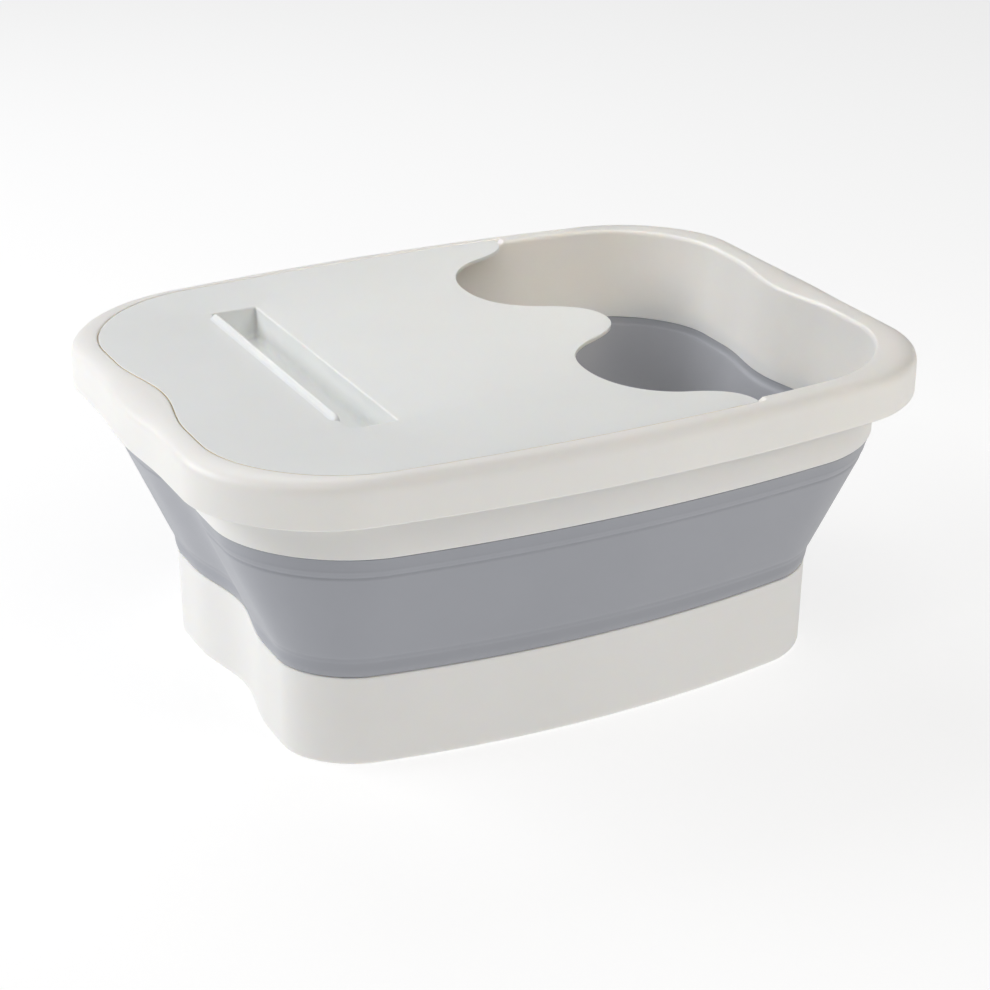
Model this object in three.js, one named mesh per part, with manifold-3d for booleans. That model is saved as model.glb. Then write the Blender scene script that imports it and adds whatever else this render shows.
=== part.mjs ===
// A collapsible foot soaking basin with a half lid.
//
// A hard base tub and a hard rim ring are joined by a soft rubber wall with two creases, so the rim can
// be pushed down around the base. A flat lid with two ankle cut-outs and a phone slot lies in a rebate of
// the rim, and two roller cradles for the soles of the feet stand on the floor of the tub.
//
// Units are millimetres. +X is the long axis and points to the person using the basin, whose right is +Y.
// +Z is up, and the origin is on the floor under the middle of the basin.
import * as THREE from "three";
import { mergeVertices } from "three/addons/utils/BufferGeometryUtils.js";
import Module from "manifold-3d";

const wasm = await Module();
wasm.setup();

// ---------------------------------------------------------------------------------------------------------
// Driving dimensions
// ---------------------------------------------------------------------------------------------------------
const GAP = 0.3; // between two pieces that touch
const HEIGHT = 203; // top of the rim
const SKIRT_BOTTOM = 175.5; // lower edge of the rim's outer skirt
const COLLAR_BOTTOM = 149.2; // lower edge of the rim's upright wall, outside
const LIP_BOTTOM = 142; // and inside, where it backs the rubber wall
const CREASE_HIGH_Z = 134; // upper crease of the rubber wall
const CREASE_LOW_Z = 69; // lower crease of the rubber wall
const BASE_TOP = 58.8; // upper edge of the base tub, outside
const BASE_LIP_TOP = 66.5; // and inside, where it backs the rubber wall
const BASE_BOTTOM = 0.6; // underside of the base tub: the pads hold it this far off the floor
const FLOOR_TOP = 4.1; // inside floor of the base tub

// Each outline is a rectangle of half length a and half width b with round corners. Its long sides bow
// inwards by `bow` towards the ends, and each end is drawn in by `dent` at its middle, where the hands
// take hold. The corners at the far end, -X, have their own radius where farCorner is given.
const RIM = { a: 235, b: 181, corner: 67, farCorner: 78, bow: 24, dent: -3 };
const LID_SEAT = { a: 220, b: 169, corner: 80, farCorner: 80, bow: 15, dent: 8 };
const WALL_TOP = { a: 214, b: 163, corner: 73, bow: 15, dent: 7.5 };
const WALL_BOTTOM = { a: 208, b: 159.8, corner: 67, bow: 19, dent: 7.5 };
const COLLAR = { a: 214, b: 167.2, corner: 69, farCorner: 78, bow: 21.5, dent: 7.5 };
const CREASE_HIGH = { a: 208.5, b: 161.8, corner: 64, farCorner: 70, bow: 21, dent: 8 };
const CREASE_LOW = { a: 180.5, b: 138.3, corner: 43, bow: 21.5, dent: 8 };
const BASE = { a: 179, b: 136.8, corner: 42, bow: 21.5, dent: 8 };
const BASE_DRAFT = 0.9; // the base tub is narrower by this much at its bottom, on each side
const DENT_HALF_WIDTH = 58;
const SIDE_STEPS = 8; // steps along a long side, an end and a corner of each outline
const END_STEPS = 12;
const CORNER_STEPS = 7;

// The rim's top curves down from the lid's seat to the skirt. It is fuller than an ellipse.
const CROWN = { drop: 11, fullness: 3, steps: 6 };
const RIM_THICK = 2.6;
const LIP_THICK = 1.2; // the rim's lip behind the head of the rubber wall
const RUBBER_THICK = 2.4;
const BASE_SHELF = 2.2; // width of the base tub's upper edge, under the foot of the rubber wall
const BASE_LIP = 1.3; // the base tub's lip behind it
const FLANGE_BOTTOM = 197.2; // underside of the rim's top flange
const FLANGE_CORNER = 4; // chamfer between the flange and the skirt, inside
const COLLAR_FLARE = 2; // the rim's upright wall is thicker by this much under the flange
const HEAD_INSET = 0.6; // the rubber wall's top edge lies this far inside the collar's
const REBATE_DEPTH = 3.2; // the lid's seat in the rim
const REBATE_END = 90; // the seat stops here, just past the lid's tips
// Rounded edges, as steps of how far inwards and how far along the height.
const MOUTH_EDGE = [
  [-3, 0],
  [-0.9, 0.9],
  [0, 3],
];
const TUB_CORNER = [
  [5, 0],
  [1.5, 1.4],
  [0, 5],
];
const FLOOR_CORNER = [
  [3, 9],
  [5.6, 2.6],
  [12, 0],
];
const JOIN = 0.5; // how far two bodies that become one reach into each other
const BEYOND = 10; // how far a cutting body reaches past what it cuts

const LID_THICK = 2.7;
const LID_TOP = HEIGHT - 0.2;
const LID_CLEARANCE = 0.4; // round the lid's edge, in the rebate
const LID_RIB = { inset: 1, thick: 2, depth: 5.5, end: 66 };
// The lid's free edge on the +Y side: from a pointed tip at the rim, round an ankle cut-out, to the middle of
// the tongue between the ankles. Each curve is given by its two handles and its end.
const TIP = [88, 161];
const LID_EDGE = [
  [
    [88, 148],
    [76, 140],
    [58, 134],
  ],
  [
    [38, 126],
    [24, 106],
    [24, 80],
  ],
  [
    [24, 56],
    [34, 42],
    [55, 32],
  ],
  [
    [72, 24],
    [81, 14],
    [81, 0],
  ],
];

const SLOT = { x0: -138, x1: -109, y0: -98, y1: 113, depth: 20, wall: 2, corner: 6 };
// The raised lip along the slot's far side, for a leaning phone: its section as places in X and heights
// above the lid, and its two ends.
const SLOT_LIP = {
  section: [
    [-143, 0],
    [-141.3, 0.6],
    [-139.9, 2.1],
    [-138.8, 2.9],
    [-137.9, 3],
  ],
  y0: -84,
  y1: 107,
};

const PAD = { radius: 11, height: 3, x: 132, y: 88 };

const ROLLER = { radius: 12, valley: 9, length: 64, pitch: 38, count: 4, ribs: 3, ribWidth: 12 };
const ROLLER_CLEARANCE = 1.2; // between a roller and its cradle's plate
const RIB_FLANK = { outside: 2, inside: 1 }; // how far a rib's flank reaches to both sides of its width
const AXLE = { radius: 2, headRadius: 3.4, headThick: 1.2, tail: 1.5 };
const CRADLE = { y: 58, halfLength: 86, halfWidth: 42, corner: 10, plate: 2 };
const CHEEK = { thick: 3, lug: 6, webTop: 14, gap: 1 }; // the sides of a cradle, with a lug at each axle
const BAR = { x: 73, thick: 3, top: 15 }; // the two ends of a cradle, which join its cheeks
const STUD = { radius: 3, top: 8, x: 80, y: 32 };
const SIDES = 16; // facets of a roller, and of a pad
const PIN_SIDES = 10;

// ---------------------------------------------------------------------------------------------------------
// Materials
// ---------------------------------------------------------------------------------------------------------
const plastic = (color, roughness) => new THREE.MeshStandardMaterial({ color, roughness, metalness: 0 });
const WHITE_SHELL = plastic(0xe9e7e1, 0.42);
const WHITE_LID = plastic(0xe6e6e4, 0.5);
const GREY_RUBBER = plastic(0x8f9198, 0.62);
const GREY_ROLLER = plastic(0xa9adb3, 0.5);
const WHITE_CRADLE = plastic(0xdfdfdc, 0.5);
const PAD_RUBBER = plastic(0x6e7076, 0.8);
const STEEL = new THREE.MeshStandardMaterial({ color: 0xc9ccd0, roughness: 0.25, metalness: 1 });

// ---------------------------------------------------------------------------------------------------------
// Geometry helpers
// ---------------------------------------------------------------------------------------------------------

// The outline drawn in by d on every side. A negative d makes it larger.
function inset(shape, d) {
  const { a, b, corner, farCorner = corner } = shape;
  return { ...shape, a: a - d, b: b - d, corner: corner - d, farCorner: farCorner - d };
}

// The outline a share of the way from one to another.
function between(from, to, share) {
  const mixed = Object.keys(from).map((key) => [key, from[key] + (to[key] - from[key]) * share]);
  return Object.fromEntries(mixed);
}

// The points of an outline, anticlockwise from above.
function outline({ a, b, corner, farCorner = corner, bow, dent }) {
  const points = [];
  const add = (x, y) => {
    const v = y * (1 - (bow / b) * (x / a) ** 2);
    const bump = Math.abs(v) < DENT_HALF_WIDTH ? 0.5 + 0.5 * Math.cos((Math.PI * v) / DENT_HALF_WIDTH) : 0;
    points.push(new THREE.Vector2(x - Math.sign(x) * dent * bump, v));
  };
  const straight = (x0, y0, x1, y1, steps) => {
    for (let i = 0; i < steps; i++) add(x0 + ((x1 - x0) * i) / steps, y0 + ((y1 - y0) * i) / steps);
  };
  const round = (x, y, radius, from) => {
    for (let i = 0; i < CORNER_STEPS; i++) {
      const angle = from + (i / CORNER_STEPS) * (Math.PI / 2);
      add(x + radius * Math.cos(angle), y + radius * Math.sin(angle));
    }
  };
  const x = a - corner;
  const y = b - corner;
  const farX = farCorner - a;
  const farY = b - farCorner;
  straight(a, -y, a, y, END_STEPS);
  round(x, y, corner, 0);
  straight(x, b, farX, b, SIDE_STEPS);
  round(farX, farY, farCorner, Math.PI / 2);
  straight(-a, farY, -a, -farY, END_STEPS);
  round(farX, -farY, farCorner, Math.PI);
  straight(farX, -b, x, -b, SIDE_STEPS);
  round(x, -y, corner, 1.5 * Math.PI);
  return points;
}

// A body through a list of levels, each an outline and a height: up the outside, over the top and down
// the inside. A closed one is a ring, whose last level joins its first. An open one has a cap at both ends.
function loft(levels, closed) {
  const rings = levels.map(([shape, z]) => outline(shape).map((p) => [p.x, p.y, z]));
  const n = rings[0].length;
  const positions = rings.flat(2);
  const index = [];
  const last = closed ? rings.length : rings.length - 1;
  for (let i = 0; i < last; i++) {
    const low = i * n;
    const high = ((i + 1) % rings.length) * n;
    for (let j = 0; j < n; j++) {
      const k = (j + 1) % n;
      index.push(low + j, low + k, high + k, low + j, high + k, high + j);
    }
  }
  if (!closed) {
    const first = positions.length / 3;
    positions.push(0, 0, levels[0][1], 0, 0, levels.at(-1)[1]);
    const top = (rings.length - 1) * n;
    for (let j = 0; j < n; j++) {
      const k = (j + 1) % n;
      index.push(first, k, j, first + 1, top + j, top + k);
    }
  }
  const geometry = new THREE.BufferGeometry();
  geometry.setAttribute("position", new THREE.Float32BufferAttribute(positions, 3));
  geometry.setIndex(index);
  return solid(geometry);
}

// A closed geometry as a manifold-3d solid.
function solid(geometry) {
  const bare = new THREE.BufferGeometry();
  bare.setAttribute("position", geometry.getAttribute("position"));
  bare.setIndex(geometry.getIndex());
  const merged = mergeVertices(bare, 1e-4);
  return new wasm.Manifold(
    new wasm.Mesh({
      numProp: 3,
      vertProperties: new Float32Array(merged.getAttribute("position").array),
      triVerts: new Uint32Array(merged.getIndex().array),
    }),
  );
}

function mesh(name, body, material) {
  const made = body.getMesh();
  const geometry = new THREE.BufferGeometry();
  geometry.setAttribute("position", new THREE.BufferAttribute(new Float32Array(made.vertProperties), 3));
  geometry.setIndex(new THREE.BufferAttribute(new Uint32Array(made.triVerts), 1));
  geometry.computeVertexNormals();
  const result = new THREE.Mesh(geometry, material);
  result.name = name;
  return result;
}

function box(x0, x1, y0, y1, z0, z1) {
  const geometry = new THREE.BoxGeometry(x1 - x0, y1 - y0, z1 - z0);
  geometry.translate((x0 + x1) / 2, (y0 + y1) / 2, (z0 + z1) / 2);
  return solid(geometry);
}

function upright(radius, x, y, z0, z1, sides) {
  const geometry = new THREE.CylinderGeometry(radius, radius, z1 - z0, sides);
  geometry.rotateX(Math.PI / 2);
  geometry.translate(x, y, (z0 + z1) / 2);
  return solid(geometry);
}

// A shape drawn in plan, between two heights.
function slab(shape, z0, z1, curveSegments) {
  const geometry = new THREE.ExtrudeGeometry(shape, { depth: z1 - z0, bevelEnabled: false, curveSegments });
  geometry.translate(0, 0, z0);
  return solid(geometry);
}

// ---------------------------------------------------------------------------------------------------------
// Sub-parts
// ---------------------------------------------------------------------------------------------------------

// The base tub: a flat floor, upright walls, and a thin lip that backs the foot of the rubber wall.
function baseTub() {
  const foot = inset(BASE, BASE_DRAFT);
  let body = loft(
    [
      ...TUB_CORNER.map(([inwards, up]) => [inset(foot, inwards), BASE_BOTTOM + up]),
      [BASE, BASE_TOP],
      [inset(BASE, BASE_SHELF), BASE_TOP],
      [inset(BASE, BASE_SHELF), BASE_LIP_TOP],
      [inset(BASE, BASE_SHELF + BASE_LIP), BASE_LIP_TOP],
      ...FLOOR_CORNER.map(([inwards, up]) => [inset(foot, inwards), FLOOR_TOP + up]),
    ],
    false,
  );
  for (const [x, y] of padPlaces()) {
    body = body.subtract(upright(PAD.radius + GAP, x, y, -BEYOND, PAD.height + GAP, SIDES));
  }
  for (const side of [-1, 1]) {
    for (const [x, y] of studPlaces()) {
      body = body.add(upright(STUD.radius, x, side * CRADLE.y + y, FLOOR_TOP - JOIN, STUD.top, PIN_SIDES));
    }
  }
  return mesh("base_tub", body, WHITE_SHELL);
}

// The rubber wall: a short upright foot, a long slope between two creases, and an upright top.
function foldingWall() {
  const head = inset(WALL_BOTTOM, -LIP_THICK - GAP);
  const body = loft(
    [
      [BASE, BASE_TOP + GAP],
      [CREASE_LOW, CREASE_LOW_Z],
      [CREASE_HIGH, CREASE_HIGH_Z],
      [inset(COLLAR, HEAD_INSET), COLLAR_BOTTOM - GAP],
      [head, COLLAR_BOTTOM - GAP],
      [head, LIP_BOTTOM - GAP],
      [WALL_BOTTOM, LIP_BOTTOM - GAP],
      [inset(CREASE_HIGH, RUBBER_THICK), CREASE_HIGH_Z],
      [inset(CREASE_LOW, RUBBER_THICK), CREASE_LOW_Z + 1],
      [inset(BASE, BASE_SHELF + BASE_LIP), BASE_LIP_TOP + GAP],
      [inset(BASE, BASE_SHELF - GAP), BASE_LIP_TOP + GAP],
      [inset(BASE, BASE_SHELF - GAP), BASE_TOP + GAP],
    ],
    true,
  );
  return mesh("folding_wall", body, GREY_RUBBER);
}

// The rim ring: an outer skirt, a crown that curves up to the lid's seat, a top flange, and the upright
// wall of the basin's mouth. The lid's seat is cut into the flange from the far end to the lid's tips.
function rimRing() {
  const crown = [];
  for (let i = 0; i < CROWN.steps; i++) {
    const angle = (i / CROWN.steps) * (Math.PI / 2);
    const out = Math.cos(angle) ** (2 / CROWN.fullness);
    const up = Math.sin(angle) ** (2 / CROWN.fullness);
    crown.push([between(LID_SEAT, RIM, out), HEIGHT - CROWN.drop * (1 - up)]);
  }
  const body = loft(
    [
      [RIM, SKIRT_BOTTOM],
      ...crown,
      ...MOUTH_EDGE.map(([inwards, down]) => [inset(WALL_TOP, inwards), HEIGHT - down]),
      [WALL_BOTTOM, LIP_BOTTOM],
      [inset(WALL_BOTTOM, -LIP_THICK), LIP_BOTTOM],
      [inset(WALL_BOTTOM, -LIP_THICK), COLLAR_BOTTOM],
      [COLLAR, COLLAR_BOTTOM],
      [inset(COLLAR, -COLLAR_FLARE), FLANGE_BOTTOM],
      [inset(RIM, RIM_THICK + FLANGE_CORNER), FLANGE_BOTTOM],
      [inset(RIM, RIM_THICK), FLANGE_BOTTOM - FLANGE_CORNER],
      [inset(RIM, RIM_THICK), SKIRT_BOTTOM],
    ],
    true,
  );
  const seat = loft(
    [
      [LID_SEAT, HEIGHT - REBATE_DEPTH],
      [LID_SEAT, HEIGHT + BEYOND],
    ],
    false,
  ).subtract(box(REBATE_END, RIM.a, -RIM.b, RIM.b, 0, HEIGHT + 2 * BEYOND));
  return mesh("rim_ring", body.subtract(seat), WHITE_SHELL);
}

// Everything on the user's side of the lid's free edge.
function beyondLidEdge() {
  const far = RIM.a + BEYOND;
  const [tipX, tipY] = TIP;
  const edge = new THREE.Shape();
  edge.moveTo(far, -RIM.b);
  edge.lineTo(far, RIM.b);
  edge.lineTo(tipX, RIM.b);
  edge.lineTo(tipX, tipY);
  for (const [first, second, end] of LID_EDGE) edge.bezierCurveTo(...first, ...second, ...end);
  const starts = [TIP, ...LID_EDGE.map((curve) => curve[2])];
  for (let i = LID_EDGE.length - 1; i >= 0; i--) {
    const [first, second] = LID_EDGE[i];
    edge.bezierCurveTo(second[0], -second[1], first[0], -first[1], starts[i][0], -starts[i][1]);
  }
  edge.lineTo(tipX, -RIM.b);
  return slab(edge, 0, HEIGHT + BEYOND, 7);
}

// The opening of the phone slot, seen from above. Its near corner on the far side is round.
function slotShape() {
  const { x0, x1, y0, y1, corner } = SLOT;
  const shape = new THREE.Shape();
  shape.moveTo(x1, y0);
  shape.lineTo(x1, y1);
  shape.lineTo(x0, y1);
  shape.absarc(x0 + corner, y0 + corner, corner, Math.PI, 1.5 * Math.PI);
  return shape;
}

// The raised lip along the slot's far side.
function slotLip() {
  const section = new THREE.Shape();
  const [footX] = SLOT_LIP.section[0];
  const [crestX] = SLOT_LIP.section.at(-1);
  section.moveTo(footX, -JOIN);
  for (const [x, rise] of SLOT_LIP.section) section.lineTo(x, rise);
  section.lineTo(crestX, -JOIN);
  const length = SLOT_LIP.y1 - SLOT_LIP.y0;
  const geometry = new THREE.ExtrudeGeometry(section, { depth: length, bevelEnabled: false });
  geometry.rotateX(Math.PI / 2);
  geometry.translate(0, SLOT_LIP.y1, LID_TOP);
  return solid(geometry);
}

// The lid: a flat plate in the rim's seat, a rib inside the basin's mouth, and the phone slot's pocket.
function lid() {
  const plate = inset(LID_SEAT, LID_CLEARANCE);
  const under = LID_TOP - LID_THICK;
  const ribOutside = inset(WALL_TOP, LID_RIB.inset);
  const ribInside = inset(WALL_TOP, LID_RIB.inset + LID_RIB.thick);
  const ribBottom = under - LID_RIB.depth;
  const rib = loft(
    [
      [ribOutside, ribBottom],
      [ribOutside, under + JOIN],
      [ribInside, under + JOIN],
      [ribInside, ribBottom],
    ],
    true,
  ).subtract(box(LID_RIB.end, RIM.a, -RIM.b, RIM.b, 0, HEIGHT + BEYOND));
  const pocket = box(
    SLOT.x0 - SLOT.wall,
    SLOT.x1 + SLOT.wall,
    SLOT.y0 - SLOT.wall,
    SLOT.y1 + SLOT.wall,
    LID_TOP - SLOT.depth - SLOT.wall,
    under + JOIN,
  );
  const body = loft(
    [
      [plate, under],
      [plate, LID_TOP],
    ],
    false,
  )
    .subtract(beyondLidEdge())
    .add(rib)
    .add(pocket)
    .add(slotLip())
    .subtract(slab(slotShape(), LID_TOP - SLOT.depth, LID_TOP + BEYOND, 5));
  return mesh("lid", body, WHITE_LID);
}

function padPlaces() {
  return [
    [PAD.x, PAD.y],
    [-PAD.x, PAD.y],
    [-PAD.x, -PAD.y],
    [PAD.x, -PAD.y],
  ];
}

function footPads() {
  const names = ["foot_pad_near_right", "foot_pad_far_right", "foot_pad_far_left", "foot_pad_near_left"];
  return padPlaces().map(([x, y], i) => {
    const body = upright(PAD.radius, x, y, 0, PAD.height, SIDES);
    return mesh(names[i], body, PAD_RUBBER);
  });
}

function studPlaces() {
  return [
    [STUD.x, STUD.y],
    [-STUD.x, STUD.y],
    [-STUD.x, -STUD.y],
    [STUD.x, -STUD.y],
  ];
}

const rollerX = (i) => (i - (ROLLER.count - 1) / 2) * ROLLER.pitch;
const CHEEK_INSIDE = ROLLER.length / 2 + CHEEK.gap;
const CHEEK_OUTSIDE = CHEEK_INSIDE + CHEEK.thick;
const PLATE_TOP = FLOOR_TOP + GAP + CRADLE.plate;
const AXLE_Z = PLATE_TOP + ROLLER.radius + ROLLER_CLEARANCE;

// One cheek of a cradle, seen from the side: a low web with a round lug at each axle.
function cheekShape() {
  const end = BAR.x + BAR.thick / 2;
  const shape = new THREE.Shape();
  shape.moveTo(-end, PLATE_TOP - JOIN);
  shape.lineTo(end, PLATE_TOP - JOIN);
  shape.lineTo(end, CHEEK.webTop);
  for (let i = ROLLER.count - 1; i >= 0; i--) {
    shape.lineTo(rollerX(i) + CHEEK.lug, CHEEK.webTop);
    shape.absarc(rollerX(i), AXLE_Z, CHEEK.lug, 0, Math.PI);
    shape.lineTo(rollerX(i) - CHEEK.lug, CHEEK.webTop);
    const hole = new THREE.Path();
    hole.absarc(rollerX(i), AXLE_Z, AXLE.radius + GAP, 0, 2 * Math.PI);
    shape.holes.push(hole);
  }
  shape.lineTo(-end, CHEEK.webTop);
  return shape;
}

// A roller cradle: a plate on the tub's floor, held by four studs, with a cheek along each side.
function cradle(name, y) {
  const plate = { a: CRADLE.halfLength, b: CRADLE.halfWidth, corner: CRADLE.corner, bow: 0, dent: 0 };
  let body = loft(
    [
      [plate, FLOOR_TOP + GAP],
      [plate, PLATE_TOP],
    ],
    false,
  );
  for (const side of [-1, 1]) {
    const cheek = new THREE.ExtrudeGeometry(cheekShape(), {
      depth: CHEEK.thick,
      bevelEnabled: false,
      curveSegments: 5,
    });
    cheek.rotateX(Math.PI / 2);
    cheek.translate(0, side > 0 ? CHEEK_OUTSIDE : -CHEEK_INSIDE, 0);
    body = body.add(solid(cheek));
    const bar = side * BAR.x;
    const half = BAR.thick / 2;
    const reach = CHEEK_INSIDE + JOIN;
    body = body.add(box(bar - half, bar + half, -reach, reach, PLATE_TOP - JOIN, BAR.top));
  }
  for (const [sx, sy] of studPlaces()) {
    body = body.subtract(upright(STUD.radius + GAP, sx, sy, 0, PLATE_TOP + BEYOND, PIN_SIDES));
  }
  return mesh(name, body.translate([0, y, 0]), WHITE_CRADLE);
}

// A turned body about a line along Y through (x, y, z), from a profile of [radius, distance along Y].
function turned(profile, sides, x, y, z) {
  const geometry = new THREE.LatheGeometry(
    profile.map(([r, t]) => new THREE.Vector2(r, t)),
    sides,
  );
  geometry.translate(x, y, z);
  return solid(geometry);
}

// A massage roller: broad ribs round a tube that runs on the axle.
function roller(name, x, y) {
  const half = ROLLER.length / 2;
  const bore = AXLE.radius + GAP;
  const step = ROLLER.length / ROLLER.ribs;
  const profile = [
    [bore, -half],
    [ROLLER.valley, -half],
  ];
  for (let i = 0; i < ROLLER.ribs; i++) {
    const middle = -half + (i + 0.5) * step;
    const flankOutside = ROLLER.ribWidth / 2 + RIB_FLANK.outside;
    const flankInside = ROLLER.ribWidth / 2 - RIB_FLANK.inside;
    profile.push([ROLLER.valley, middle - flankOutside]);
    profile.push([ROLLER.radius, middle - flankInside]);
    profile.push([ROLLER.radius, middle + flankInside]);
    profile.push([ROLLER.valley, middle + flankOutside]);
  }
  profile.push([ROLLER.valley, half], [bore, half], [bore, -half]);
  return mesh(name, turned(profile, SIDES, x, y, AXLE_Z), GREY_ROLLER);
}

// A roller's axle: a pin through both cheeks, with a flat head at its outer end.
function axle(name, x, y) {
  const out = Math.sign(y);
  const headStart = CHEEK_OUTSIDE + GAP;
  const headEnd = headStart + AXLE.headThick;
  const tail = -(CHEEK_OUTSIDE + AXLE.tail);
  const profile = [
    [0, tail],
    [AXLE.radius, tail],
    [AXLE.radius, headStart],
    [AXLE.headRadius, headStart],
    [AXLE.headRadius, headEnd],
    [0, headEnd],
  ];
  const body = turned(profile, PIN_SIDES, 0, 0, 0);
  const aimed = out > 0 ? body : body.rotate([0, 0, 180]);
  return mesh(name, aimed.translate([x, y, AXLE_Z]), STEEL);
}

// ---------------------------------------------------------------------------------------------------------
// The assembly
// ---------------------------------------------------------------------------------------------------------
const basin = new THREE.Group();
basin.name = "foot_spa_basin";
basin.add(baseTub(), foldingWall(), rimRing(), lid(), ...footPads());
for (const [side, y] of [
  ["left", -CRADLE.y],
  ["right", CRADLE.y],
]) {
  basin.add(cradle(`roller_cradle_${side}`, y));
  for (let i = 0; i < ROLLER.count; i++) {
    basin.add(roller(`massage_roller_${side}_${i + 1}`, rollerX(i), y));
    basin.add(axle(`roller_axle_${side}_${i + 1}`, rollerX(i), y));
  }
}

export default basin;
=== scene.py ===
"""Looks of the collapsible foot soaking basin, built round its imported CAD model.

Sizes in the constants are millimetres, unless they say otherwise, and become metres when a mesh is made.
Heights come from the boxes of the CAD nodes. The constants add the shapes of the outlines and the fine
detail. The basin's left end in the photograph is at -X, and its right end is at +X.
"""

import math

import bpy
import numpy as np
from mathutils import Matrix, Vector
from mathutils.geometry import delaunay_2d_cdt


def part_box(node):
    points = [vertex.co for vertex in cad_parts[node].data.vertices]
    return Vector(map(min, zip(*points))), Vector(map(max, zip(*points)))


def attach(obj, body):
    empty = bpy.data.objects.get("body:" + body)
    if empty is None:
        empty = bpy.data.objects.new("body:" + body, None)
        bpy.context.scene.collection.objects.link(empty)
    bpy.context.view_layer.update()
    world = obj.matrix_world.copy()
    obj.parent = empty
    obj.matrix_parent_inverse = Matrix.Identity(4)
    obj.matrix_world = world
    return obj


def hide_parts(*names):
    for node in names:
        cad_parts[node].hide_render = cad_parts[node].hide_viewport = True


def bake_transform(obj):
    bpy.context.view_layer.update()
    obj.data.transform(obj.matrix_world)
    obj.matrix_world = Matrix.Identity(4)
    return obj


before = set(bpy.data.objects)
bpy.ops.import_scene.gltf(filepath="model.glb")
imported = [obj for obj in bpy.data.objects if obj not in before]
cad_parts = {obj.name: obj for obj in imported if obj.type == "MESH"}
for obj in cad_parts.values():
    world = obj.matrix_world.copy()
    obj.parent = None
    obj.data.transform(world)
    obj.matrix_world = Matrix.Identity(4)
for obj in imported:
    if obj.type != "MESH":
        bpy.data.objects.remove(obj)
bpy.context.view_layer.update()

MM = 0.001


# ----------------------------------------------------------------------------------------------------------
# Driving dimensions
# ----------------------------------------------------------------------------------------------------------
def box_mm(node):
    """A CAD node's lowest and highest corners at rest, in millimetres."""
    low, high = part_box(node)
    return [c / MM for c in low], [c / MM for c in high]


RIM_LOW, RIM_HIGH = box_mm("rim_ring")
WALL_LOW, WALL_HIGH = box_mm("folding_wall")
BASE_LOW, BASE_HIGH = box_mm("base_tub")
LID_HIGH = box_mm("lid")[1]

GAP = 0.3  # between two pieces that touch
HEIGHT = RIM_HIGH[2]  # top of the rim
SKIRT_BOTTOM = HEIGHT - 27.5
FLANGE_BOTTOM = HEIGHT - 5.8
LIP_BOTTOM = RIM_LOW[2]  # foot of the rim's lip, behind the rubber wall
COLLAR_BOTTOM = WALL_HIGH[2] + GAP
CREASE_HIGH_Z = LIP_BOTTOM - 8
BASE_TOP = WALL_LOW[2] - GAP
BASE_LIP_TOP = BASE_HIGH[2]
CREASE_LOW_Z = BASE_LIP_TOP + 2.5
BASE_BOTTOM = BASE_LOW[2]
FLOOR_TOP = BASE_BOTTOM + 3.5
LID_TOP = LID_HIGH[2] - 3  # under the raised lip

# An outline is a half length, a half width, a corner radius at the +X end and at the -X end, how far the
# long sides bow in, and how far the middle of each end is drawn in.
RIM = (235, 180.98, 67, 78, 24, -3)
LID_SEAT = (220, 169, 80, 80, 15, 8)
WALL_TOP = (214, 163, 73, 73, 15, 7.5)
WALL_BOTTOM = (208, 159.8, 67, 67, 19, 7.5)
COLLAR = (214, 167.2, 69, 78, 21.5, 7.5)
CREASE_HIGH = (208.5, 161.8, 64, 70, 21, 8)
CREASE_LOW = (180.5, 138.3, 43, 43, 21.5, 8)
BASE = (179, 136.8, 42, 42, 21.5, 8)
BASE_FOOT = (178.1, 135.9, 41.1, 41.1, 21.5, 8)
DENT_HALF_WIDTH = 58

CROWN_DROP = 11
CROWN_FULLNESS = 3
RIM_THICK = 2.6
LIP_THICK = 1.2
RUBBER_THICK = 2.4
BASE_SHELF = 2.2
BASE_LIP = 1.3
REBATE_DEPTH = 3.2
LID_CLEARANCE = 0.45  # round the lid's edge
REBATE_STEP = (89, 93)  # the rebate runs out between these two places along the basin

# The lid's free edge on the +Y side: from a tip at the rim, round an ankle cut-out, to the middle of the
# tongue between the ankles. Each curve is given by its two handles and its end.
TIP_X = 88
TIP_RADIUS = 2.4
LID_EDGE = [
    ((87.4, 148), (76, 140), (58, 134)),
    ((38, 126), (24, 106), (24, 80)),
    ((24, 56), (34, 42), (55, 32)),
    ((72, 24), (81, 14), (81, 0)),
]

LID_THICK = 2.7
# Painted shade: the lid's edge where it sits in the rim is coloured tan to darken the gap between the lid
# and the rim.
PAINTED_SHADE_TIP_X = 76  # the painted shade on the lid's edge ends here, short of the tips
PAINTED_SHADE_SIDE_Y = 150  # the lid's long sides lie past this along Y
PAINTED_SHADE_END_X = -158  # its closed end lies past this along X
RIB_DEPTH = 5.5
RIB_THICK = 2
RIB_END_X = 66

SLOT_X = (-138, -109)
SLOT_Y = (-98, 113)
SLOT_DEPTH = 20
SLOT_CORNER = 6  # the corner at -X and -Y, which shows past the end of the raised lip
SLOT_FILLET = 4  # where its walls run into its floor
POCKET_WALL = 2
POCKET_CORNER = 4
# The section of the raised lip along the slot's -X side: places in X and heights above the lid.
LIP_SECTION = [
    (-137.93, -1.6), (-137.93, 1.9), (-138.05, 2.5), (-138.5, 2.9), (-139.0, 3.0), (-139.6, 2.8),
    (-140.1, 2.25), (-140.6, 1.5), (-141.2, 0.75), (-141.9, 0.2), (-143.0, 0.02), (-143.5, -0.2),
    (-143.5, -0.6),
]
LIP_Y = (-84, 107)
# The lip's two ends: the distance from the end, and the share of its full height there.
LIP_RUN_OUT = [(0, 0), (0.6, 0.45), (1.6, 0.75), (3, 0.93), (5, 1)]
LIP_SINK = 0.3  # how far its ends run down into the lid

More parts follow.
